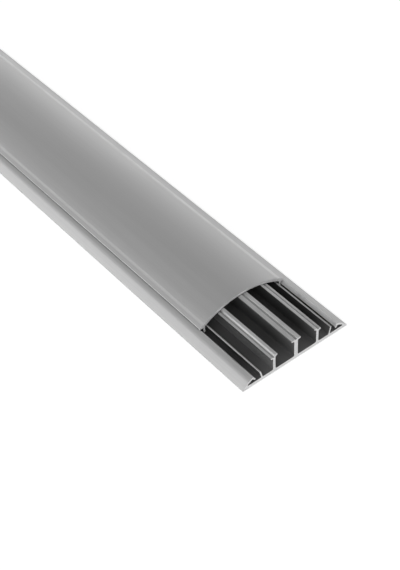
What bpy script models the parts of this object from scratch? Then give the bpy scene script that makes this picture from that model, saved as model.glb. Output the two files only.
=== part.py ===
"""Floor cable cover: aluminium base with four cable channels, and an arched lid that slides on it.

Metres, +Z up. Y runs along the stock and X across it. The origin is on the
underside of the base, at the middle of its width and length.
"""

import math

import bpy

MM = 0.001

# The stock
LENGTH = 1000.0  # base and lid are cut to the same length
WIDTH = 75.0
HEIGHT = 17.0  # floor to the crown of the lid
LID_SETBACK = 45.0  # the lid is pushed back along the base by this much
SEAT_GAP = 0.3  # between the lid and what it rides on

# Floor plate
PLATE_THICKNESS = 2.4
ROOT_RADIUS = 0.8

# Ramps along both edges
TOE_HEIGHT = 0.8
RAMP_KNEE_X = 33.2
RAMP_KNEE_Z = 5.2
RAMP_RADIUS = 7.0
CREST_X = 30.2
CREST_Z = 6.75
LIP_TIP_X = 28.35
LIP_TIP_Z = 4.0
LIP_THICKNESS = 0.95
HOLLOW_TOP_X = 30.55
HOLLOW_TOP_Z = 5.2
HOLLOW_END_X = 34.0
HOLLOW_END_Z = 3.2

# Leaning ribs beside the lid's legs
RIB_ROOT_X = 24.1
RIB_TOP_X = 25.4
RIB_TOP_Z = 7.4
RIB_THICKNESS = 1.0

# Outer dividers, one each side
OUTER_STEM_X = 15.45
OUTER_STEM_THICKNESS = 1.7
OUTER_NECK_Z = 10.75
OUTER_ARM_X = 17.85
OUTER_ARM_Z = 11.9
INNER_NECK_Z = 11.75
INNER_ARM_X = 13.2
INNER_ARM_Z = 13.35
OUTER_GROOVE_RIM_X = 16.45  # a small groove runs along the foot of the step
OUTER_GROOVE_RIM_Z = 12.05
OUTER_GROOVE_FROM_X = 16.3
OUTER_GROOVE_TO_X = 15.6
OUTER_GROOVE_Z = 11.7
OUTER_STEP_X = 15.4
OUTER_STEP_Z = 12.4
OUTER_RIDGE_X = 14.95
OUTER_RIDGE_Z = 13.0

# Centre divider
CENTRE_STEM_THICKNESS = 2.6
CENTRE_NECK_Z = 13.8
CENTRE_ARM_X = 3.3
CENTRE_ARM_Z = 15.0
CENTRE_RISE_X = 1.5
CENTRE_RISE_Z = 15.05
CENTRE_RIDGE_X = 0.75
CENTRE_RIDGE_Z = 15.3
CENTRE_GROOVE_X = 0.5
CENTRE_GROOVE_Z = 14.65

# Arms of all dividers
ARM_THICKNESS = 0.9

# Lid
LID_CROWN_THICKNESS = 1.4
LID_INNER_RADIUS = 50.0
LID_OUTER_RADIUS = 56.5
LID_STEP_X = 27.25  # the outer face steps down here to the eave
LID_STEP_WIDTH = 1.3
LID_STEP_HEIGHT = 0.95
EAVE_TIP_X = 30.65
EAVE_TIP_THICKNESS = 0.85
LEG_OUTER_X = LIP_TIP_X - SEAT_GAP
LEG_THICKNESS = 1.2
LEG_TIP_Z = 3.4
LEG_ROOT_Z = 7.9
LEG_ROOT_RADIUS = 1.3

EDGE_RADIUS = 0.3
CORNER_STEPS = 5
ARCH_STEPS = 26


def arch_height(x, crown, radius):
    """Height at x of a circular arch whose crown is on the centre line."""
    return crown - radius + math.sqrt(radius * radius - x * x)


def corner_arc(before, corner, after, radius, steps):
    """Points of the arc that rounds one corner of an outline."""
    ax, az = before[0] - corner[0], before[1] - corner[1]
    bx, bz = after[0] - corner[0], after[1] - corner[1]
    a_len = math.hypot(ax, az)
    b_len = math.hypot(bx, bz)
    ax, az, bx, bz = ax / a_len, az / a_len, bx / b_len, bz / b_len
    half = math.acos(max(-1.0, min(1.0, ax * bx + az * bz))) / 2.0
    reach = min(radius / math.tan(half), 0.48 * a_len, 0.48 * b_len)
    radius = reach * math.tan(half)
    mid_x, mid_z = ax + bx, az + bz
    mid_len = math.hypot(mid_x, mid_z)
    centre_x = corner[0] + mid_x / mid_len * radius / math.sin(half)
    centre_z = corner[1] + mid_z / mid_len * radius / math.sin(half)
    start = math.atan2(corner[1] + az * reach - centre_z, corner[0] + ax * reach - centre_x)
    end = math.atan2(corner[1] + bz * reach - centre_z, corner[0] + bx * reach - centre_x)
    turn = (end - start + math.pi) % (2.0 * math.pi) - math.pi
    points = []
    for step in range(steps + 1):
        angle = start + turn * step / steps
        points.append((centre_x + radius * math.cos(angle), centre_z + radius * math.sin(angle)))
    return points


def rounded(corners):
    """Open outline through corners (x, z, radius), with the radii drawn as arcs."""
    points = []
    last = len(corners) - 1
    for index, (x, z, radius) in enumerate(corners):
        if radius <= 0.0 or index in (0, last):
            points.append((x, z))
            continue
        steps = CORNER_STEPS if radius < 5.0 else 2 * CORNER_STEPS
        points += corner_arc(corners[index - 1], (x, z), corners[index + 1], radius, steps)
    return points


def mirrored(half):
    """Closed outline from its right half, which starts and ends on the centre line."""
    return half + [(-x, z) for x, z in reversed(half[1:-1])]


def base_section():
    """Right half of the base: underside, ramp, lip, rib, outer divider, centre divider."""
    plate = PLATE_THICKNESS
    edge = EDGE_RADIUS
    stem_out = OUTER_STEM_X + OUTER_STEM_THICKNESS / 2.0
    stem_in = OUTER_STEM_X - OUTER_STEM_THICKNESS / 2.0
    centre = CENTRE_STEM_THICKNESS / 2.0
    rib = RIB_THICKNESS / 2.0
    return rounded([
        (0.0, 0.0, 0.0),
        (WIDTH / 2.0, 0.0, edge),
        (WIDTH / 2.0, TOE_HEIGHT, edge),
        (RAMP_KNEE_X, RAMP_KNEE_Z, RAMP_RADIUS),
        (CREST_X, CREST_Z, 0.6),
        (LIP_TIP_X, LIP_TIP_Z, edge),
        (LIP_TIP_X + LIP_THICKNESS, LIP_TIP_Z - 0.15, edge),
        (HOLLOW_TOP_X, HOLLOW_TOP_Z, 0.6),
        (HOLLOW_END_X, HOLLOW_END_Z, edge),
        (HOLLOW_END_X - 0.3, plate, edge),
        (RIB_ROOT_X + rib, plate, 0.5),
        (RIB_TOP_X + rib, RIB_TOP_Z, edge),
        (RIB_TOP_X - rib, RIB_TOP_Z, edge),
        (RIB_ROOT_X - rib, plate, 0.5),
        (stem_out, plate, ROOT_RADIUS),
        (stem_out, OUTER_NECK_Z, 0.5),
        (OUTER_ARM_X, OUTER_ARM_Z - ARM_THICKNESS, edge),
        (OUTER_ARM_X, OUTER_ARM_Z, 0.25),
        (OUTER_GROOVE_RIM_X, OUTER_GROOVE_RIM_Z, 0.0),
        (OUTER_GROOVE_FROM_X, OUTER_GROOVE_Z, 0.0),
        (OUTER_GROOVE_TO_X, OUTER_GROOVE_Z, 0.0),
        (OUTER_STEP_X, OUTER_STEP_Z, 0.2),
        (OUTER_RIDGE_X, OUTER_RIDGE_Z, 0.2),
        (INNER_ARM_X, INNER_ARM_Z, 0.25),
        (INNER_ARM_X, INNER_ARM_Z - ARM_THICKNESS, edge),
        (stem_in, INNER_NECK_Z, 0.5),
        (stem_in, plate, ROOT_RADIUS),
        (centre, plate, ROOT_RADIUS),
        (centre, CENTRE_NECK_Z, 0.5),
        (CENTRE_ARM_X, CENTRE_ARM_Z - ARM_THICKNESS, edge),
        (CENTRE_ARM_X, CENTRE_ARM_Z, 0.25),
        (CENTRE_RISE_X, CENTRE_RISE_Z, 0.3),
        (CENTRE_RIDGE_X, CENTRE_RIDGE_Z, 0.15),
        (CENTRE_GROOVE_X, CENTRE_GROOVE_Z, 0.0),
        (0.0, CENTRE_GROOVE_Z, 0.0),
    ])


def lid_section():
    """Right half of the lid: underside of the arch, leg, eave, outer face."""
    inner_crown = HEIGHT - LID_CROWN_THICKNESS
    leg_inner_x = LEG_OUTER_X - LEG_THICKNESS
    eave_z = CREST_Z + SEAT_GAP
    arch_end_x = leg_inner_x - 0.9
    step_z = arch_height(LID_STEP_X, HEIGHT, LID_OUTER_RADIUS)
    under = []
    for step in range(ARCH_STEPS + 1):
        x = arch_end_x * step / ARCH_STEPS
        under.append((x, arch_height(x, inner_crown, LID_INNER_RADIUS)))
    edge = rounded([
        (under[-1][0], under[-1][1], 0.0),
        (leg_inner_x, LEG_ROOT_Z, LEG_ROOT_RADIUS),
        (leg_inner_x, LEG_TIP_Z, EDGE_RADIUS),
        (LEG_OUTER_X, LEG_TIP_Z, EDGE_RADIUS),
        (LEG_OUTER_X, eave_z, EDGE_RADIUS),
        (EAVE_TIP_X, eave_z, 0.15),
        (EAVE_TIP_X, eave_z + EAVE_TIP_THICKNESS, 0.25),
        (LID_STEP_X + LID_STEP_WIDTH, step_z - LID_STEP_HEIGHT, 0.6),
        (LID_STEP_X, step_z, 0.0),
    ])
    outer = []
    for step in range(ARCH_STEPS, -1, -1):
        x = LID_STEP_X * step / ARCH_STEPS
        outer.append((x, arch_height(x, HEIGHT, LID_OUTER_RADIUS)))
    return under + edge[1:-1] + outer


def aluminium(name, colour, roughness):
    """Satin anodised aluminium."""
    material = bpy.data.materials.new(name)
    material.use_nodes = True
    shader = material.node_tree.nodes["Principled BSDF"]
    shader.inputs["Base Color"].default_value = (*colour, 1.0)
    shader.inputs["Metallic"].default_value = 1.0
    shader.inputs["Roughness"].default_value = roughness
    return material


def extrusion(name, half, y_middle, material, collection):
    """Section drawn flat and drawn out along Y over the whole length."""
    curve = bpy.data.curves.new(name, "CURVE")
    curve.dimensions = "2D"
    curve.fill_mode = "BOTH"
    curve.extrude = LENGTH / 2.0 * MM
    curve.render_resolution_u = 0
    outline = mirrored(half)
    spline = curve.splines.new("POLY")
    spline.points.add(len(outline) - 1)
    for point, (x, z) in zip(spline.points, outline):
        point.co = (x * MM, z * MM, 0.0, 1.0)
    spline.use_cyclic_u = True
    curve.materials.append(material)
    piece = bpy.data.objects.new(name, curve)
    piece.rotation_euler = (math.pi / 2.0, 0.0, 0.0)
    piece.location = (0.0, y_middle * MM, 0.0)
    collection.objects.link(piece)
    return piece


def main():
    for old in list(bpy.data.objects):
        bpy.data.objects.remove(old)
    collection = bpy.data.collections.new("floor_cable_cover")
    bpy.context.scene.collection.children.link(collection)
    base_metal = aluminium("base_aluminium", (0.66, 0.67, 0.68), 0.42)
    lid_metal = aluminium("lid_aluminium", (0.58, 0.59, 0.60), 0.40)
    extrusion("base", base_section(), 0.0, base_metal, collection)
    extrusion("lid", lid_section(), LID_SETBACK, lid_metal, collection)


main()
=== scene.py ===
import math

import bmesh
import bpy
from mathutils import Matrix, Vector


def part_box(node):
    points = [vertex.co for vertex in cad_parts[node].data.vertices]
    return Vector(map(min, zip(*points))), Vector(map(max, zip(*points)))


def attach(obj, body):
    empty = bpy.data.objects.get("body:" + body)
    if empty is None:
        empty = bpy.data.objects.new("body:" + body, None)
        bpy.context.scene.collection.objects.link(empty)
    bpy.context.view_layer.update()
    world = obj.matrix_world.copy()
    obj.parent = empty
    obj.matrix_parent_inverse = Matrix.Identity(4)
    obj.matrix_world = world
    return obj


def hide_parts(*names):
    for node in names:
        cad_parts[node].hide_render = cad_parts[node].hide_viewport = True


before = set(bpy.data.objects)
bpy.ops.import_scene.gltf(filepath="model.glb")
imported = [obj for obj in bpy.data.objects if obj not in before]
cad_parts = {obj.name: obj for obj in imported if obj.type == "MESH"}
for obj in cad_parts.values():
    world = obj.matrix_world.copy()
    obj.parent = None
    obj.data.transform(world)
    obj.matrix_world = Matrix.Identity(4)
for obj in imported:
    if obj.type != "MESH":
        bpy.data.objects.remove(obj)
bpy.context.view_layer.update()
mm = 0.001
white = (1.0, 1.0, 1.0, 1.0)
print("frame loaded:", ", ".join(sorted(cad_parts)))


# camera

view = {
    "place": (-315.45, -849.56, 518.55),  # mm from the frame's origin
    "turn": 36.02,                        # degrees to the right of +Y
    "dip": 44.41,                         # degrees below level
    "roll": -3.50,                        # degrees, with its right side low
    "lens": 81.13,                        # mm
    "sensor": 36.0,                       # mm, on the picture's long side
    "clip": (0.02, 60.0),                 # m
}


def placeCamera():
    turn, dip, roll = [math.radians(view[key]) for key in ("turn", "dip", "roll")]
    level = math.cos(dip)
    ahead = Vector((math.sin(turn) * level, math.cos(turn) * level, -math.sin(dip)))
    right = Vector((math.cos(turn), -math.sin(turn), 0.0))
    up = right.cross(ahead)
    tiltedRight = right * math.cos(roll) + up * math.sin(roll)
    tiltedUp = up * math.cos(roll) - right * math.sin(roll)
    camera = bpy.data.objects.new("camera", bpy.data.cameras.new("camera"))
    bpy.context.scene.collection.objects.link(camera)
    camera.data.lens = view["lens"]
    camera.data.sensor_width = view["sensor"]
    camera.data.clip_start, camera.data.clip_end = view["clip"]
    turned = Matrix((tiltedRight, tiltedUp, -ahead)).transposed().to_4x4()
    camera.matrix_world = Matrix.Translation(Vector(view["place"]) * mm) @ turned
    bpy.context.scene.camera = camera


placeCamera()
print("camera placed")


# drawing a section and drawing it out

drawing = {
    "cornerSteps": 6,
    "wideSteps": 24,            # for a corner with a wide radius
    "wideFrom": 5.0,            # mm
    "sideShare": 0.48,          # the most that one corner's radius takes of a side
    "arcSlack": 1.001,          # times a corner's reach, to find its new vertices
    "archSteps": 40,
    "endSteps": 2,              # across the broken edge of a sawn end
    "loopBehind": 3.0,          # times that edge's width
    "sharpFrom": 32.0,          # degrees between two faces
    "endFacing": 0.99,          # a face that looks this far along the stock is a sawn end
    "meet": 1e-7,               # m, a vertex as near as this lies in a plane
    "weld": 1e-6,               # m, and two vertices as near as this become one
    "least": 1e-9,              # m, so that no length is divided by 0
}


def newSection():
    # two marks on its vertices tell the finish where edges are worn and get painted
    # highlights, and where painted shade goes
    bm = bmesh.new()
    bm.verts.layers.float.new("wearAndSheen")
    bm.verts.layers.float.new("paintedShade")
    return bm


def findMarks(bm):
    marks = bm.verts.layers.float
    return marks["wearAndSheen"], marks["paintedShade"]


def walkOn(bm, start, corners, y):
    # walks on from a vertex, one extruded vertex after another
    drawn = [start]
    for x, z, _, _ in corners:
        step = bmesh.ops.extrude_vert_indiv(bm, verts=[drawn[-1]])["verts"][0]
        step.co = (x * mm, y, z * mm)
        drawn.append(step)
    return drawn


def sweepArch(bm, crown, radius, reachX, y):
    # spins one vertex from the crown down the arch, and gives its vertices in that order
    first = bmesh.ops.create_vert(bm, co=(0.0, y, crown * mm))["vert"][0]
    before = set(bm.verts)
    bmesh.ops.spin(bm, geom=[first], cent=(0.0, y, (crown - radius) * mm),
                   axis=(0.0, 1.0, 0.0), angle=math.asin(reachX / radius),
                   steps=drawing["archSteps"], use_merge=False, use_duplicate=False)
    swept = [vert for vert in bm.verts if vert not in before] + [first]
    return sorted(swept, key=lambda vert: vert.co.x)


def roundCorner(bm, vert, radius, wornAndSheened):
    # a real radius at one corner, with the middle of a worn corner marked for wear and a
    # painted highlight
    corner = vert.co.copy()
    sides = [edge.other_vert(vert).co - corner for edge in vert.link_edges]
    half = sides[0].angle(sides[1]) / 2.0
    longest = [drawing["sideShare"] * side.length for side in sides]
    reach = min(radius * mm / math.tan(half), *longest)
    steps = drawing["wideSteps" if radius > drawing["wideFrom"] else "cornerSteps"]
    cut = bmesh.ops.bevel(bm, geom=[vert], offset=reach, offset_type="OFFSET", segments=steps,
                          profile=0.5, affect="VERTICES", clamp_overlap=False, material=-1)
    if not wornAndSheened:
        return
    wearAndSheen = findMarks(bm)[0]
    away = [(made, (made.co - corner).length) for made in cut["verts"]]
    arc = [(made, length) for made, length in away if length < reach * drawing["arcSlack"]]
    near = min(length for _, length in arc)
    for made, length in arc:
        made[wearAndSheen] = wornAndSheened * (1.0 - (length - near) / max(reach - near, drawing["least"]))


def drawOut(bm, length):
    section = max(bm.faces, key=lambda face: len(face.verts))
    grown = bmesh.ops.extrude_face_region(bm, geom=[section])
    moved = [item for item in grown["geom"] if isinstance(item, bmesh.types.BMVert)]
    bmesh.ops.translate(bm, verts=moved, vec=(0.0, length, 0.0))


def liesAt(item, axis, place):
    return all(abs(vert.co[axis] - place) < drawing["meet"] for vert in item.verts)


def mirrorHalf(bm):
    middle = [face for face in bm.faces if liesAt(face, 0, 0.0)]
    bmesh.ops.delete(bm, geom=middle, context="FACES_ONLY")
    whole = bm.verts[:] + bm.edges[:] + bm.faces[:]
    bmesh.ops.mirror(bm, geom=whole, matrix=Matrix.Identity(4), merge_dist=drawing["weld"],
                     axis="X")
    bmesh.ops.remove_doubles(bm, verts=bm.verts[:], dist=drawing["weld"])
    bmesh.ops.recalc_face_normals(bm, faces=bm.faces[:])


def breakEnds(bm, yLow, yHigh, width):
    # the sawn edges are just broken, and a loop behind each holds the shading
    for y, inward in ((yLow, 1.0), (yHigh, -1.0)):
        rim = [edge for edge in bm.edges if liesAt(edge, 1, y) and not liesAt(edge, 0, 0.0)]
        bmesh.ops.bevel(bm, geom=rim, offset=width * mm, offset_type="OFFSET",
                        segments=drawing["endSteps"], profile=0.5, affect="EDGES",
                        clamp_overlap=False, material=-1)
        everything = bm.verts[:] + bm.edges[:] + bm.faces[:]
        behind = y + inward * drawing["loopBehind"] * width * mm
        bmesh.ops.bisect_plane(bm, geom=everything, dist=drawing["meet"],
                               plane_co=(0.0, behind, 0.0), plane_no=(0.0, 1.0, 0.0))


def finishPiece(bm, name, material, body, node):
    bmesh.ops.recalc_face_normals(bm, faces=bm.faces[:])
    for face in bm.faces:
        face.smooth = abs(face.normal.y) < drawing["endFacing"]
    sharpFrom = math.radians(drawing["sharpFrom"])
    for edge in bm.edges:
        if len(edge.link_faces) == 2 and edge.calc_face_angle() > sharpFrom:
            edge.smooth = False
    mesh = bpy.data.meshes.new(name)
    bm.to_mesh(mesh)
    bm.free()
    mesh.materials.append(material)
    piece = bpy.data.objects.new(name, mesh)
    bpy.context.scene.collection.objects.link(piece)
    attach(piece, body)
    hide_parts(node)
    print(name, "made:", len(mesh.polygons), "faces")


# finishes

# each noise is scaled along X, Y and Z, where a low number draws it out, and most are then
# spread from one value to another, the last two to an output that isn't 0 to 1
noises = {
    "fineLines": {"scale": (1.0, 0.006, 1.0), "detail": 3.0, "roughness": 0.55,
                  "spread": (0.28, 0.72)},
    "broadBands": {"scale": (1.0, 0.012, 1.0), "detail": 2.0, "roughness": 0.5,
                   "spread": (0.3, 0.7)},
    "tooth": {"scale": (1.0, 1.0, 1.0), "detail": 2.0, "roughness": 0.6},
    "clouds": {"scale": (1.0, 0.45, 1.0), "detail": 4.0, "roughness": 0.55,
               "spread": (0.32, 0.68)},
    "strokes": {"scale": (0.10, 1.0, 1.0), "detail": 3.0, "roughness": 0.6,
                "spread": (0.3, 0.7)},
    "breaks": {"scale": (1.0, 1.0, 1.0), "detail": 5.0, "roughness": 0.65,
               "spread": (0.30, 0.62, 0.25, 1.0)},
    "patches": {"scale": (1.0, 0.2, 1.0), "detail": 4.0, "roughness": 0.6,
                "spread": (0.25, 0.75, 0.97, 1.0)},
}

finish = {
    "bandFineness": 260.0,
    "sawnFacing": (0.55, 0.9),  # how far a face looks along the stock, from unsawn to sawn
    "openEndShade": 0.89,        # how much of the painted shade is left by an open end
    "cloudShare": 0.35,
    "lineRoughness": 0.03,      # up and down
    "cloudRoughness": 0.05,
    "toothRelief": 0.35,
}


def newGroup(name, inputs, outputs):
    group = bpy.data.node_groups.new(name, "ShaderNodeTree")
    for label, value in inputs.items():
        socket = group.interface.new_socket(name=label, in_out="INPUT",
                                            socket_type="NodeSocketFloat")
        socket.default_value = value
    for label in outputs:
        group.interface.new_socket(name=label, in_out="OUTPUT", socket_type="NodeSocketFloat")
    start = group.nodes.new("NodeGroupInput")
    end = group.nodes.new("NodeGroupOutput")
    return group, start.outputs, end.inputs


def plug(tree, value, socket):
    # a number or a colour is set on the socket, and an output is linked to it
    if isinstance(value, (int, float)):
        socket.default_value = value
    elif isinstance(value, tuple):
        socket.default_value = (*value, 1.0)
    else:
        tree.links.new(value, socket)


def addMath(tree, operation, *values, clamp=False):
    node = tree.nodes.new("ShaderNodeMath")
    node.operation = operation
    node.use_clamp = clamp
    for socket, value in zip(node.inputs, values):
        plug(tree, value, socket)
    return node.outputs[0]


def addRange(tree, value, low, high, outLow=0.0, outHigh=1.0):
    node = tree.nodes.new("ShaderNodeMapRange")
    node.interpolation_type = "SMOOTHSTEP"
    labels = ("Value", "From Min", "From Max", "To Min", "To Max")
    for label, number in zip(labels, (value, low, high, outLow, outHigh)):
        plug(tree, number, node.inputs[label])
    return node.outputs["Result"]


def mixValue(tree, share, first, second):
    node = tree.nodes.new("ShaderNodeMix")
    node.data_type = "FLOAT"
    for socket, value in zip((0, 2, 3), (share, first, second)):
        plug(tree, value, node.inputs[socket])
    return node.outputs[0]


def mixColour(tree, share, first, second):
    node = tree.nodes.new("ShaderNodeMix")
    node.data_type = "RGBA"
    for socket, value in zip((0, 6, 7), (share, first, second)):
        plug(tree, value, node.inputs[socket])
    return node.outputs[2]


def mixShader(tree, share, first, second):
    node = tree.nodes.new("ShaderNodeMixShader")
    for socket, value in zip(node.inputs, (share, first, second)):
        plug(tree, value, socket)
    return node.outputs["Shader"]


def addNoise(tree, name, fineness):
    # one of the noises, on Object coordinates
    look = noises[name]
    place = tree.nodes.new("ShaderNodeTexCoord")
    mapping = tree.nodes.new("ShaderNodeMapping")
    mapping.inputs["Scale"].default_value = look["scale"]
    noise = tree.nodes.new("ShaderNodeTexNoise")
    noise.inputs["Detail"].default_value = look["detail"]
    noise.inputs["Roughness"].default_value = look["roughness"]
    plug(tree, fineness, noise.inputs["Scale"])
    tree.links.new(place.outputs["Object"], mapping.inputs["Vector"])
    tree.links.new(mapping.outputs["Vector"], noise.inputs["Vector"])
    if "spread" not in look:
        return noise.outputs["Fac"]
    return addRange(tree, noise.outputs["Fac"], *look["spread"])


def addAlong(tree, kind):
    # how far a place or a normal goes along the stock
    place = tree.nodes.new("ShaderNodeTexCoord")
    parts = tree.nodes.new("ShaderNodeSeparateXYZ")
    tree.links.new(place.outputs[kind], parts.inputs["Vector"])
    return parts.outputs["Y"]


def addMark(tree, name):
    mark = tree.nodes.new("ShaderNodeAttribute")
    mark.attribute_name = name
    return mark.outputs["Fac"]


def makeDrawnLines():
    # faint lines that the die leaves along the stock, and broader bands between them
    sockets = {"Fineness": 2600.0, "Bands": 0.35}
    group, given, wanted = newGroup("drawnLines", sockets, ["Lines", "Height"])
    fineLines = addNoise(group, "fineLines", given["Fineness"])
    broadBands = addNoise(group, "broadBands", finish["bandFineness"])
    bands = addMath(group, "MULTIPLY", broadBands, given["Bands"])
    rest = addMath(group, "SUBTRACT", 1.0, given["Bands"])
    fineShare = addMath(group, "MULTIPLY", fineLines, rest)
    group.links.new(addMath(group, "ADD", bands, fineShare), wanted["Lines"])
    group.links.new(fineLines, wanted["Height"])
    return group


def makeSatin():
    # the fine etched tooth of anodising, and the cloudiness of a handled surface
    sockets = {"Tooth": 9000.0, "Clouds": 14.0}
    group, given, wanted = newGroup("satinTooth", sockets, ["Tooth", "Clouds"])
    group.links.new(addNoise(group, "tooth", given["Tooth"]), wanted["Tooth"])
    group.links.new(addNoise(group, "clouds", given["Clouds"]), wanted["Clouds"])
    return group


def makeSawnEnd():
    # where a face looks along the stock, and the saw's fine strokes across it
    group, given, wanted = newGroup("sawnEnd", {"Strokes": 1500.0}, ["Mask", "Strokes"])
    along = addMath(group, "ABSOLUTE", addAlong(group, "Normal"))
    group.links.new(addRange(group, along, *finish["sawnFacing"]), wanted["Mask"])
    group.links.new(addNoise(group, "strokes", given["Strokes"]), wanted["Strokes"])
    return group


def makeWearAndSheen():
    # bare bright metal where corners are worn, standing also for painted highlights, broken
    # up along their length
    sockets = {"Amount": 0.8, "Breaks": 60.0}
    group, given, wanted = newGroup("wearAndSheenEdges", sockets, ["Mask"])
    breaks = addNoise(group, "breaks", given["Breaks"])
    share = addMath(group, "MULTIPLY", addMark(group, "wearAndSheen"), breaks)
    mask = addMath(group, "MULTIPLY", share, given["Amount"], clamp=True)
    group.links.new(mask, wanted["Mask"])
    return group


def makePaintedShading():
    # painted shade, a near black film in the channels and under the lid where shade falls,
    # made a little lighter by an open end
    sockets = {"Amount": 1.0, "Patches": 90.0, "Lighter At": -0.5, "Shaded From": -0.48}
    group, given, wanted = newGroup("paintedShading", sockets, ["Mask"])
    patches = addNoise(group, "patches", given["Patches"])
    inside = addRange(group, addAlong(group, "Object"), given["Lighter At"], given["Shaded From"],
                      finish["openEndShade"], 1.0)
    even = addMath(group, "MULTIPLY", patches, inside)
    share = addMath(group, "MULTIPLY", addMark(group, "paintedShade"), even)
    mask = addMath(group, "MULTIPLY", share, given["Amount"], clamp=True)
    group.links.new(mask, wanted["Mask"])
    return group


effects = {
    "lines": makeDrawnLines(),
    "satin": makeSatin(),
    "sawn": makeSawnEnd(),
    "wornAndSheened": makeWearAndSheen(),
    "paintedShading": makePaintedShading(),
}
print("effects made:", ", ".join(effects))


def placeEffect(tree, name, **values):
    node = tree.nodes.new("ShaderNodeGroup")
    node.node_tree = effects[name]
    for label, value in values.items():
        node.inputs[label].default_value = value
    return node.outputs


def anodisedAluminium(name, look):
    material = bpy.data.materials.new(name)
    material.use_nodes = True
    tree = material.node_tree
    shader = tree.nodes["Principled BSDF"].inputs
    lines = placeEffect(tree, "lines", Fineness=look["lineFineness"], Bands=look["lineBands"])
    satin = placeEffect(tree, "satin", Clouds=look["cloudSize"])
    sawn = placeEffect(tree, "sawn", Strokes=look["sawStrokes"])
    wornAndSheened = placeEffect(tree, "wornAndSheened", Amount=look["wearSheenAmount"])
    paintedShading = placeEffect(tree, "paintedShading", **look["paintedShade"])

    # colour, metal and roughness go from the bare finish to the painted shade over it, then
    # to worn edges that also carry painted highlights, and to what is sawn
    film = mixColour(tree, lines["Lines"], look["filmDark"], look["filmLight"])
    cloudShare = addMath(tree, "MULTIPLY", satin["Clouds"], finish["cloudShare"])
    clouded = mixColour(tree, cloudShare, film, look["cloudColour"])
    shaded = mixColour(tree, paintedShading["Mask"], clouded, look["paintedShadeColour"])
    sheenedWear = mixColour(tree, wornAndSheened["Mask"], shaded, look["bareSheenColour"])
    cut = mixColour(tree, sawn["Strokes"], look["cutDark"], look["cutLight"])
    colour = mixColour(tree, sawn["Mask"], sheenedWear, cut)
    tree.links.new(colour, shader["Base Color"])

    shadedMetal = mixValue(tree, paintedShading["Mask"], 1.0, look["paintedShadeMetal"])
    sheenedWearMetal = mixValue(tree, wornAndSheened["Mask"], shadedMetal, look["wearSheenMetal"])
    metal = mixValue(tree, sawn["Mask"], sheenedWearMetal, look["cutMetal"])
    tree.links.new(metal, shader["Metallic"])

    smoother = look["roughness"] - finish["lineRoughness"]
    rougher = look["roughness"] + finish["lineRoughness"]
    lined = mixValue(tree, lines["Lines"], smoother, rougher)
    skin = addMath(tree, "MULTIPLY_ADD", satin["Clouds"], finish["cloudRoughness"], lined)
    shadedSkin = mixValue(tree, paintedShading["Mask"], skin, look["paintedShadeRoughness"])
    sheenedWearSkin = mixValue(tree, wornAndSheened["Mask"], shadedSkin, look["wearSheenRoughness"])
    roughness = mixValue(tree, sawn["Mask"], sheenedWearSkin, look["cutRoughness"])
    tree.links.new(roughness, shader["Roughness"])

    relief = addMath(tree, "MULTIPLY_ADD", satin["Tooth"], finish["toothRelief"],
                     lines["Height"])
    bump = tree.nodes.new("ShaderNodeBump")
    bump.inputs["Strength"].default_value = look["reliefStrength"]
    bump.inputs["Distance"].default_value = look["reliefDepth"] * mm
    height = mixValue(tree, sawn["Mask"], relief, sawn["Strokes"])
    tree.links.new(height, bump.inputs["Height"])
    tree.links.new(bump.outputs["Normal"], shader["Normal"])
    return material


# base

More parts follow.
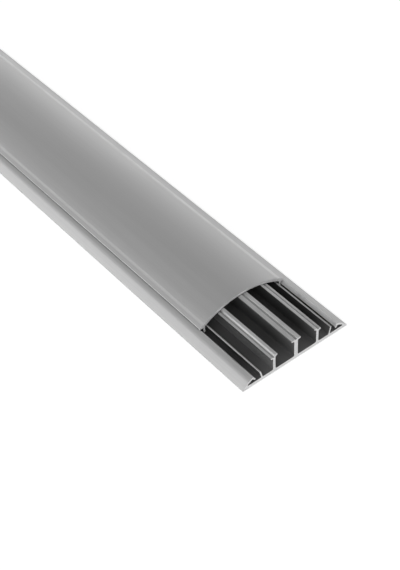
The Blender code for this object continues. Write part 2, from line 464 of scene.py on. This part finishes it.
base = {
    # measures of the section in mm, and its points as x and z
    "plate": 2.4,
    "toeHeight": 0.8,
    "rampKnee": (33.2, 5.2),
    "crest": (30.2, 6.75),
    "lipBright": (28.85, 4.74),  # the lip is worn by the lid's legs and given a painted highlight down to here
    "lipShaded": (28.66, 4.46),   # and gets painted shade from here
    "lipTip": (28.35, 4.0),
    "lipThickness": 0.95,
    "lipSlope": 0.15,           # how much lower the tip is on its outer side
    "hollowTop": (30.55, 5.2),
    "hollowEnd": (34.0, 3.2),
    "hollowSlope": 0.3,         # how far the hollow's outer wall leans in at its foot
    "ribRoot": 24.1,
    "ribTop": (25.4, 7.4),
    "ribThickness": 1.0,
    "outerStem": 15.45,
    "outerStemThickness": 1.7,
    "outerNeck": 10.75,
    "outerArm": (17.85, 11.9),
    "outerRim": (16.45, 12.05),
    "outerGroove": (16.3, 15.6, 11.7),  # its outer x, its inner x and the z of its floor
    "outerStep": (15.4, 12.4),
    "outerRidge": (14.95, 13.0),
    "innerNeck": 11.75,
    "innerArm": (13.2, 13.35),
    "centreStemThickness": 2.6,
    "centreNeck": 13.8,
    "centreArm": (3.3, 15.0),
    "centreRise": (1.5, 15.05),
    "centreRidge": (0.75, 15.3),
    "centreGroove": (0.5, 14.65),
    "armThickness": 0.9,
    "floorMiddles": (20.2, 8.0),  # x of a vertex in the floor of the outer and inner channel
    "endBreak": 0.08,           # how far the sawn edges are broken
    "radii": {
        "edge": 0.3,
        "ramp": 7.0,
        "crest": 0.6,
        "hollow": 0.6,
        "ribFoot": 0.5,
        "root": 0.8,
        "neck": 0.5,
        "arm": 0.25,
        "rim": 0.15,
        "groove": 0.1,
        "ridge": 0.2,
        "rise": 0.3,
        "centreRidge": 0.15,
        "centreGroove": 0.15,
    },
    # how bright the parts are worn, with painted highlights
    "wearAndSheenLevels": {
        "toe": 0.6,
        "crest": 1.0,
        "lip": 1.6,
        "rib": 0.6,
        "arm": 1.0,
        "underArm": 0.3,
        "rim": 0.3,
        "ridge": 1.0,
        "centreRidge": 0.5,
        "tops": 0.35,
    },
    # how dark the painted shade on the parts is
    "paintedShades": {
        "channel": 1.0,
        "floorMiddle": 0.93,    # the painted shade is lighter in the middle of the floor than in its corners
        "centreDivider": (0.95, 0.80),  # low and high on its wall
        "outerDivider": (1.0, 0.87),
        "leftChannel": (0.915, 0.63, 0.965),  # its floor, and low and high on its wall
        "groove": 0.3,
    },
    # where the worn and highlighted parts and the painted shade begin and end, in mm
    "limits": {
        "underside": 0.1,
        "lipDepth": 0.4,        # below the lip's tip
        "ribSide": 20.5,        # x, and the rib and the ramp's hollow are further out
        "ribBright": 0.2,       # below the rib's top
        "arms": (8.0, 14.5),    # x from which the inner arm begins, and the outer
        "highWall": 8.0,        # z
        "floor": 0.5,           # above the plate
        "leftChannel": -22.0,   # x
        "shadeBelow": (0.0, 0.1, 0.0),  # below the tops of the centre, inner and outer arm
        "grooveBelow": 0.05,    # below the same tops
        "shaded": 0.5,            # a mark above this counts as painted shade
        "slack": 0.1,
        "fineSlack": 0.01,
    },
    "look": {
        "filmDark": (0.64, 0.64, 0.64),
        "filmLight": (0.71, 0.71, 0.71),
        "cloudColour": (0.65, 0.65, 0.65),
        # the near black colour of the painted shade in the channels
        "paintedShadeColour": (0.035, 0.035, 0.035),
        "paintedShadeMetal": 0.1,
        # the bare metal of worn edges, which also paints their highlights
        "bareSheenColour": (0.93, 0.93, 0.93),
        "cutDark": (0.80, 0.80, 0.80),
        "cutLight": (0.92, 0.92, 0.92),
        "cutMetal": 0.25,
        "wearSheenMetal": 0.25,
        "roughness": 0.52,
        "wearSheenRoughness": 0.48,
        "paintedShadeRoughness": 0.55,
        "cutRoughness": 0.60,
        "lineFineness": 2600.0,
        "lineBands": 0.35,
        "cloudSize": 14.0,
        "sawStrokes": 1500.0,
        "wearSheenAmount": 1.0,
        "paintedShade": {"Amount": 1.0, "Lighter At": -0.502, "Shaded From": -0.480},
        "reliefStrength": 0.25,
        "reliefDepth": 0.02,    # mm
    },
}


def baseCorners():
    # right half of the section: x, z, radius and how much the corner gets worn and
    # highlighted
    b, radii, wearAndSheenLevels = base, base["radii"], base["wearAndSheenLevels"]
    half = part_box("base")[1].x / mm
    plate, edge, arm = b["plate"], radii["edge"], b["armThickness"]
    stemOut = b["outerStem"] + b["outerStemThickness"] / 2.0
    stemIn = b["outerStem"] - b["outerStemThickness"] / 2.0
    centre = b["centreStemThickness"] / 2.0
    rib = b["ribThickness"] / 2.0
    tipX, tipZ = b["lipTip"]
    ribX, ribZ = b["ribTop"]
    grooveOuter, grooveInner, grooveZ = b["outerGroove"]
    return [
        (0.0, 0.0, 0.0, 0.0),
        (half, 0.0, edge, 0.0),
        (half, b["toeHeight"], edge, wearAndSheenLevels["toe"]),
        (*b["rampKnee"], radii["ramp"], 0.0),
        (*b["crest"], radii["crest"], wearAndSheenLevels["crest"]),
        (*b["lipBright"], 0.0, 0.0),
        (*b["lipShaded"], 0.0, 0.0),
        (tipX, tipZ, edge, 0.0),
        (tipX + b["lipThickness"], tipZ - b["lipSlope"], edge, 0.0),
        (*b["hollowTop"], radii["hollow"], 0.0),
        (*b["hollowEnd"], edge, 0.0),
        (b["hollowEnd"][0] - b["hollowSlope"], plate, edge, 0.0),
        (b["ribRoot"] + rib, plate, radii["ribFoot"], 0.0),
        (ribX + rib, ribZ, edge, wearAndSheenLevels["rib"]),
        (ribX - rib, ribZ, edge, wearAndSheenLevels["rib"]),
        (b["ribRoot"] - rib, plate, radii["ribFoot"], 0.0),
        (b["floorMiddles"][0], plate, 0.0, 0.0),
        (stemOut, plate, radii["root"], 0.0),
        (stemOut, b["outerNeck"], radii["neck"], 0.0),
        (b["outerArm"][0], b["outerArm"][1] - arm, edge, wearAndSheenLevels["underArm"]),
        (*b["outerArm"], radii["arm"], wearAndSheenLevels["arm"]),
        (*b["outerRim"], radii["rim"], wearAndSheenLevels["rim"]),
        (grooveOuter, grooveZ, radii["groove"], 0.0),
        (grooveInner, grooveZ, radii["groove"], 0.0),
        (*b["outerStep"], radii["ridge"], 0.0),
        (*b["outerRidge"], radii["ridge"], wearAndSheenLevels["ridge"]),
        (*b["innerArm"], radii["arm"], wearAndSheenLevels["arm"]),
        (b["innerArm"][0], b["innerArm"][1] - arm, edge, wearAndSheenLevels["underArm"]),
        (stemIn, b["innerNeck"], radii["neck"], 0.0),
        (stemIn, plate, radii["root"], 0.0),
        (b["floorMiddles"][1], plate, 0.0, 0.0),
        (centre, plate, radii["root"], 0.0),
        (centre, b["centreNeck"], radii["neck"], 0.0),
        (b["centreArm"][0], b["centreArm"][1] - arm, edge, wearAndSheenLevels["underArm"]),
        (*b["centreArm"], radii["arm"], wearAndSheenLevels["arm"]),
        (*b["centreRise"], radii["rise"], 0.0),
        (*b["centreRidge"], radii["centreRidge"], wearAndSheenLevels["centreRidge"]),
        (*b["centreGroove"], radii["centreGroove"], 0.0),
        (0.0, b["centreGroove"][1], 0.0, 0.0),
    ]


def markLip(vert, wearAndSheen, paintedShade):
    # the inner face is worn by the lid's legs and given a painted highlight, down to where
    # painted shade begins
    limits = base["limits"]
    inner = vert.co.x / mm < base["crest"][0] + limits["slack"]
    bright = inner and vert.co.z / mm > base["lipBright"][1] - limits["fineSlack"]
    if bright:
        vert[wearAndSheen] = base["wearAndSheenLevels"]["lip"]
    vert[paintedShade] = base["paintedShades"]["channel"] if inner and not bright else 0.0


def markDivider(vert, wearAndSheen, paintedShade):
    # painted shade on its walls, under its arms and in the grooves, and wear with a painted
    # highlight on top
    x, z = vert.co.x / mm, vert.co.z / mm
    limits, slack = base["limits"], base["limits"]["slack"]
    place = sum(x >= start for start in limits["arms"])
    top = base[("centreArm", "innerArm", "outerArm")[place]][1]
    grooveOuter, grooveInner, _ = base["outerGroove"]
    inOuter = grooveInner - slack < x < grooveOuter + slack
    groove = inOuter or x < base["centreGroove"][0] + slack
    side = not groove and z < top - limits["shadeBelow"][place]
    if side or z < top - base["armThickness"]:
        low, high = base["paintedShades"]["outerDivider" if place else "centreDivider"]
        vert[paintedShade] = high if z > limits["highWall"] else low
        vert[wearAndSheen] = 0.0
    elif groove and z < top - limits["grooveBelow"]:
        vert[paintedShade] = base["paintedShades"]["groove"]
    else:
        vert[wearAndSheen] = max(vert[wearAndSheen], base["wearAndSheenLevels"]["tops"])


def markBase(vert, wearAndSheen, paintedShade):
    # where the base gets painted shade, and where it is worn and given painted highlights
    x, z = vert.co.x / mm, vert.co.z / mm
    limits, paintedShades = base["limits"], base["paintedShades"]
    tipX, tipZ = base["lipTip"]
    if x > base["hollowEnd"][0] or z < limits["underside"]:
        return
    if x > tipX - limits["slack"] and z > tipZ - limits["lipDepth"]:
        markLip(vert, wearAndSheen, paintedShade)
    elif x > limits["ribSide"]:
        bright = z > base["ribTop"][1] - limits["ribBright"]
        vert[paintedShade] = 0.0 if bright else paintedShades["channel"]
    elif any(abs(x - middle) < limits["fineSlack"] for middle in base["floorMiddles"]):
        vert[paintedShade] = paintedShades["floorMiddle"]
    else:
        markDivider(vert, wearAndSheen, paintedShade)


def markLeftChannel(bm):
    # the leftmost channel gets lighter painted shade than its mirror image, where more light
    # falls in
    paintedShade = findMarks(bm)[1]
    limits = base["limits"]
    floor, low, high = base["paintedShades"]["leftChannel"]
    for vert in bm.verts:
        x, z = vert.co.x / mm, vert.co.z / mm
        inside = limits["leftChannel"] < x < -base["outerStem"]
        if inside and vert[paintedShade] > limits["shaded"]:
            onFloor = z < base["plate"] + limits["floor"]
            vert[paintedShade] = floor if onFloor else low if z < limits["highWall"] else high


def makeBase():
    low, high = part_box("base")
    bm = newSection()
    corners = baseCorners()
    x, z = corners[0][:2]
    first = bmesh.ops.create_vert(bm, co=(x * mm, low.y, z * mm))["vert"][0]
    drawn = walkOn(bm, first, corners[1:], low.y)
    bmesh.ops.contextual_create(bm, geom=[drawn[0], drawn[-1]])
    bmesh.ops.contextual_create(bm, geom=bm.edges[:])
    for vert, (_, _, radius, wornAndSheened) in zip(drawn, corners):
        if radius > 0.0:
            roundCorner(bm, vert, radius, wornAndSheened)
    wearAndSheen, paintedShade = findMarks(bm)
    for vert in bm.verts:
        markBase(vert, wearAndSheen, paintedShade)
    drawOut(bm, high.y - low.y)
    mirrorHalf(bm)
    markLeftChannel(bm)
    breakEnds(bm, low.y, high.y, base["endBreak"])
    material = anodisedAluminium("baseAnodised", base["look"])
    finishPiece(bm, "baseExtrusion", material, "base", "base")


# lid

lid = {
    # measures of the section in mm
    "crownThickness": 1.4,
    "innerRadius": 50.0,
    "outerRadius": 56.5,
    "innerEnd": 0.9,            # how far short of the leg the inner arc ends
    "step": 27.25,              # where the outer face steps down to the eave
    "stepWidth": 1.3,
    "stepHeight": 0.95,
    "eaveTip": 30.65,
    "eaveTipThickness": 0.85,
    "eaveUnderside": 7.05,
    "legOuter": 28.05,
    "legThickness": 1.2,
    "legTip": 3.4,
    "legRoot": 7.9,
    "endBreak": 0.08,
    "radii": {
        "edge": 0.3,
        "legRoot": 1.3,
        "eaveEdge": 0.15,
        "eaveTip": 0.25,
        "stepFoot": 0.6,
        "crease": 0.5,
    },
    # how bright the parts are worn, with painted highlights
    "wearAndSheenLevels": {
        "eaveTip": 1.6,
        "creaseCorner": 1.0,
        "crease": (0.16, 2.0),  # left and right, the painted highlight much weaker on the left
    },
    # how far the worn and highlighted parts and the painted shade reach, in mm
    "limits": {
        "crease": 2.1,          # up the arch
        "creaseSlack": 0.2,
        "shadeSlack": 0.2,       # above the inner arc
        "shadeEave": 0.45,       # share of the eave's edge, from below
    },
    "look": {
        "filmDark": (0.68, 0.68, 0.68),
        "filmLight": (0.73, 0.73, 0.73),
        "cloudColour": (0.68, 0.68, 0.68),
        # the near black colour of the painted shade under the lid
        "paintedShadeColour": (0.035, 0.035, 0.035),
        "paintedShadeMetal": 0.1,
        # the bare metal of worn edges, which also paints their highlights
        "bareSheenColour": (0.90, 0.90, 0.90),
        "cutDark": (0.64, 0.64, 0.64),
        "cutLight": (0.76, 0.76, 0.76),
        "cutMetal": 0.25,
        "wearSheenMetal": 0.25,
        "roughness": 0.52,
        "wearSheenRoughness": 0.48,
        "paintedShadeRoughness": 0.55,
        "cutRoughness": 0.60,
        "lineFineness": 2600.0,
        "lineBands": 0.35,
        "cloudSize": 11.0,
        "sawStrokes": 1500.0,
        "wearSheenAmount": 1.0,
        "paintedShade": {"Amount": 1.0, "Lighter At": -0.60, "Shaded From": -0.50},
        "reliefStrength": 0.25,
        "reliefDepth": 0.02,    # mm
    },
}


def lidCorners(stepZ):
    # right half, on from the inner arc and round to the step: x, z, radius, and how much the
    # corner gets worn and highlighted
    radii, eave, tip = lid["radii"], lid["eaveUnderside"], lid["eaveTip"]
    legOuter, legInner = lid["legOuter"], lid["legOuter"] - lid["legThickness"]
    stepFoot = (lid["step"] + lid["stepWidth"], stepZ - lid["stepHeight"])
    return [
        (legInner, lid["legRoot"], radii["legRoot"], 0.0),
        (legInner, lid["legTip"], radii["edge"], 0.0),
        (legOuter, lid["legTip"], radii["edge"], 0.0),
        (legOuter, eave, radii["edge"], 0.0),
        (tip, eave, radii["eaveEdge"], 0.0),
        (tip, eave + lid["eaveTipThickness"], radii["eaveTip"], lid["wearAndSheenLevels"]["eaveTip"]),
        (*stepFoot, radii["stepFoot"], 0.0),
    ]


def markLid(bm, crown, stepZ):
    # painted shade underneath, and wear with a painted highlight along the crease where the
    # arch steps down to the eave
    wearAndSheen, paintedShade = findMarks(bm)
    limits, step, radius = lid["limits"], lid["step"], lid["innerRadius"]
    underCrown = crown - lid["crownThickness"]
    underTip = lid["eaveUnderside"] + limits["shadeEave"] * lid["eaveTipThickness"]
    for vert in bm.verts:
        x, z = vert.co.x / mm, vert.co.z / mm
        fromCrease = max(0.0, step - x) / limits["crease"]
        outside = z > stepZ - limits["creaseSlack"] and x < step + limits["creaseSlack"]
        if fromCrease < 1.0 and outside:
            vert[wearAndSheen] = lid["wearAndSheenLevels"]["crease"][1] * (1.0 - fromCrease)
        drop = radius - math.sqrt(radius ** 2 - x * x)
        under = z < underCrown - drop + limits["shadeSlack"]
        vert[paintedShade] = 1.0 if under or z < underTip else 0.0


def dimLeftCreaseHighlight(bm, stepZ):
    # the crease's painted highlight is made weaker on the left than on the right
    wearAndSheen = findMarks(bm)[0]
    left, right = lid["wearAndSheenLevels"]["crease"]
    for vert in bm.verts:
        if vert.co.x < 0.0 and vert.co.z > (stepZ - lid["limits"]["creaseSlack"]) * mm:
            vert[wearAndSheen] *= left / right


def makeLid():
    low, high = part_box("lid")
    crown = high.z / mm
    innerCrown = crown - lid["crownThickness"]
    innerEnd = lid["legOuter"] - lid["legThickness"] - lid["innerEnd"]
    bm = newSection()
    outer = sweepArch(bm, crown, lid["outerRadius"], lid["step"], low.y)
    inner = sweepArch(bm, innerCrown, lid["innerRadius"], innerEnd, low.y)
    stepZ = outer[-1].co.z / mm
    corners = lidCorners(stepZ)
    drawn = walkOn(bm, inner[-1], corners, low.y)
    bmesh.ops.contextual_create(bm, geom=[drawn[-1], outer[-1]])
    bmesh.ops.contextual_create(bm, geom=[inner[0], outer[0]])
    bmesh.ops.contextual_create(bm, geom=bm.edges[:])
    for vert, (_, _, radius, wornAndSheened) in zip(drawn[1:], corners):
        roundCorner(bm, vert, radius, wornAndSheened)
    roundCorner(bm, outer[-1], lid["radii"]["crease"], lid["wearAndSheenLevels"]["creaseCorner"])
    markLid(bm, crown, stepZ)
    drawOut(bm, high.y - low.y)
    mirrorHalf(bm)
    dimLeftCreaseHighlight(bm, stepZ)
    breakEnds(bm, low.y, high.y, lid["endBreak"])
    material = anodisedAluminium("lidAnodised", lid["look"])
    finishPiece(bm, "lidExtrusion", material, "lid", "lid")


makeBase()
makeLid()


# floor and light

studio = {
    "floorSize": 30.0,          # m
    "floorDrop": 0.2,           # mm below the base
    "floorColour": (0.90, 0.90, 0.90),
    "floorRoughness": 0.9,
    "floorGlow": 0.14,          # what it sends up into the metal
    "floorShine": 0.42,         # what the camera sees on top of that
    "fill": 0.29,               # light from all round
    "band": 1.40,               # wide soft light, low behind the far end
    "bandSide": (-0.30, 0.52),  # where it comes in, by how far a direction points along +Y
    "bandTurn": -0.27,          # below 0 it reaches further round on the left
    "bandHeight": (0.10, 0.53),  # where it fades out, by how far a direction points up
    "bandTilt": 0.06,           # above 0 it stands higher on the left
    "front": 1.2,               # soft light from the front and left
    "frontFrom": (-0.38, -0.74, 0.55),
    "frontSpread": (0.72, 0.96),
    "backdrop": 0.92,
}


def paleFloor():
    material = bpy.data.materials.new("paleFloor")
    material.use_nodes = True
    tree = material.node_tree
    shader = tree.nodes["Principled BSDF"]
    shader.inputs["Base Color"].default_value = (*studio["floorColour"], 1.0)
    shader.inputs["Roughness"].default_value = studio["floorRoughness"]
    shader.inputs["Specular IOR Level"].default_value = 0.0
    shader.inputs["Emission Color"].default_value = white
    shader.inputs["Emission Strength"].default_value = studio["floorGlow"]
    # the camera sees it brighter than the metal does
    shine = tree.nodes.new("ShaderNodeEmission")
    shine.inputs["Strength"].default_value = studio["floorShine"]
    shining = tree.nodes.new("ShaderNodeAddShader")
    tree.links.new(shader.outputs["BSDF"], shining.inputs[0])
    tree.links.new(shine.outputs["Emission"], shining.inputs[1])
    path = tree.nodes.new("ShaderNodeLightPath")
    seen = mixShader(tree, path.outputs["Is Camera Ray"], shader.outputs["BSDF"],
                     shining.outputs["Shader"])
    # from below it is clear, so that the underside can be looked at
    side = tree.nodes.new("ShaderNodeNewGeometry")
    clear = tree.nodes.new("ShaderNodeBsdfTransparent")
    surface = mixShader(tree, side.outputs["Backfacing"], seen, clear.outputs["BSDF"])
    tree.links.new(surface, tree.nodes["Material Output"].inputs["Surface"])
    return material


def makeFloor():
    bm = bmesh.new()
    bmesh.ops.create_grid(bm, x_segments=1, y_segments=1, size=studio["floorSize"] / 2.0)
    bmesh.ops.translate(bm, verts=bm.verts[:], vec=(0.0, 0.0, -studio["floorDrop"] * mm))
    mesh = bpy.data.meshes.new("floor")
    bm.to_mesh(mesh)
    bm.free()
    mesh.materials.append(paleFloor())
    floor = bpy.data.objects.new("floor", mesh)
    bpy.context.scene.collection.objects.link(floor)


def makeLight():
    world = bpy.data.worlds.new("studio")
    bpy.context.scene.world = world
    world.use_nodes = True
    tree = world.node_tree
    light = tree.nodes["Background"]
    light.inputs["Color"].default_value = white
    place = tree.nodes.new("ShaderNodeTexCoord")
    parts = tree.nodes.new("ShaderNodeSeparateXYZ")
    tree.links.new(place.outputs["Generated"], parts.inputs["Vector"])
    x, y, z = parts.outputs
    turned = addMath(tree, "MULTIPLY_ADD", x, studio["bandTurn"], y)
    side = addRange(tree, turned, *studio["bandSide"])
    tilted = addMath(tree, "MULTIPLY_ADD", x, studio["bandTilt"], z)
    height = addRange(tree, tilted, *studio["bandHeight"], 1.0, 0.0)
    band = addMath(tree, "MULTIPLY", side, height)
    level = addMath(tree, "MULTIPLY_ADD", band, studio["band"], studio["fill"])
    toFront = tree.nodes.new("ShaderNodeVectorMath")
    toFront.operation = "DOT_PRODUCT"
    toFront.inputs[1].default_value = Vector(studio["frontFrom"]).normalized()
    tree.links.new(place.outputs["Generated"], toFront.inputs[0])
    front = addRange(tree, toFront.outputs["Value"], *studio["frontSpread"])
    strength = addMath(tree, "MULTIPLY_ADD", front, studio["front"], level)
    tree.links.new(strength, light.inputs["Strength"])
    # what the camera sees behind the floor is one plain pale tone
    backdrop = tree.nodes.new("ShaderNodeBackground")
    backdrop.inputs["Color"].default_value = white
    backdrop.inputs["Strength"].default_value = studio["backdrop"]
    path = tree.nodes.new("ShaderNodeLightPath")
    surface = mixShader(tree, path.outputs["Is Camera Ray"], light.outputs["Background"],
                        backdrop.outputs["Background"])
    tree.links.new(surface, tree.nodes["World Output"].inputs["Surface"])
    bpy.context.scene.view_settings.view_transform = "Standard"


makeFloor()
makeLight()
print("floor and light made")
